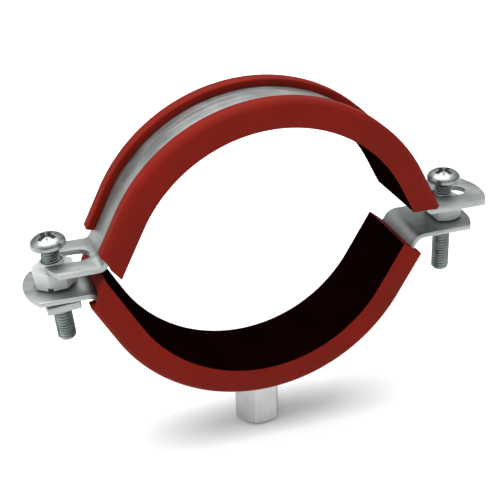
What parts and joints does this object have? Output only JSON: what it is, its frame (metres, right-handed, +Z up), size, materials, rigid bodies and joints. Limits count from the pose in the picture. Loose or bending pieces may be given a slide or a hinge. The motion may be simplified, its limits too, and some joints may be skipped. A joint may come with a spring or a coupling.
{
  "type": "two-screw pipe clamp",
  "caption": "Lined two-part pipe clamp: pressed steel halves in red rubber channels, two cross-recess screws with plastic retainers, hex hanger boss below.",
  "frame": {"origin": "centre of the hanger boss's mouth, where a threaded rod enters", "axes": "+Z up out of the boss into the ring, +Y along the pipe, +X towards the screw that is threaded straight into the lower ear"},
  "size_m": [0.1563, 0.0286, 0.1181],
  "materials": {
    "zinc_steel": "bright zinc plated pressed strip and screws",
    "boss_steel": "matte zinc plated",
    "red_rubber": "matte red elastomer with a near-black pipe face",
    "white_plastic": "matte off-white moulding"
  },
  "bodies": {
    "lower_half": {"lower_band": "zinc_steel", "lower_lining": "red_rubber", "hanger_boss": "boss_steel"},
    "upper_half": {"upper_band": "zinc_steel", "upper_lining": "red_rubber"},
    "right_retainer": {"right_retainer": "white_plastic"},
    "right_screw": {"right_screw": "zinc_steel"},
    "left_nut_plate": {"left_nut_plate": "zinc_steel"},
    "left_retainer": {"left_retainer": "white_plastic"},
    "left_screw": {"left_screw": "zinc_steel"}
  },
  "joints": [
    {"name": "upper_half_lift", "type": "slide", "parent": "lower_half", "child": "upper_half", "axis": [0, 0, 1], "range_m": [0, 0.0021]},
    {"name": "right_screw_turn", "type": "hinge", "parent": "lower_half", "child": "right_retainer", "pos_m": [0.0686, 0, 0.0633], "axis": [0, 0, 1], "range_deg": [-760, 3610]},
    {"name": "right_screw_travel", "type": "slide", "parent": "right_retainer", "child": "right_screw", "axis": [0, 0, 1], "range_m": [-0.0021, 0.01]},
    {"name": "left_screw_shift", "type": "slide", "parent": "lower_half", "child": "left_nut_plate", "axis": [-1, 0, 0], "range_m": [0, 0.002]},
    {"name": "left_screw_turn", "type": "hinge", "parent": "left_nut_plate", "child": "left_retainer", "pos_m": [-0.0638, 0, 0.0633], "axis": [-0.0785, 0, 0.9969], "range_deg": [-760, 3610]},
    {"name": "left_screw_travel", "type": "slide", "parent": "left_retainer", "child": "left_screw", "axis": [-0.0785, 0, 0.9969], "range_m": [-0.0021, 0.01]}
  ],
  "couplings": [
    {"joint": "right_screw_turn", "follows": "right_screw_travel", "rad_per_m": 6283.2},
    {"joint": "left_screw_turn", "follows": "left_screw_travel", "rad_per_m": 6283.2}
  ]
}
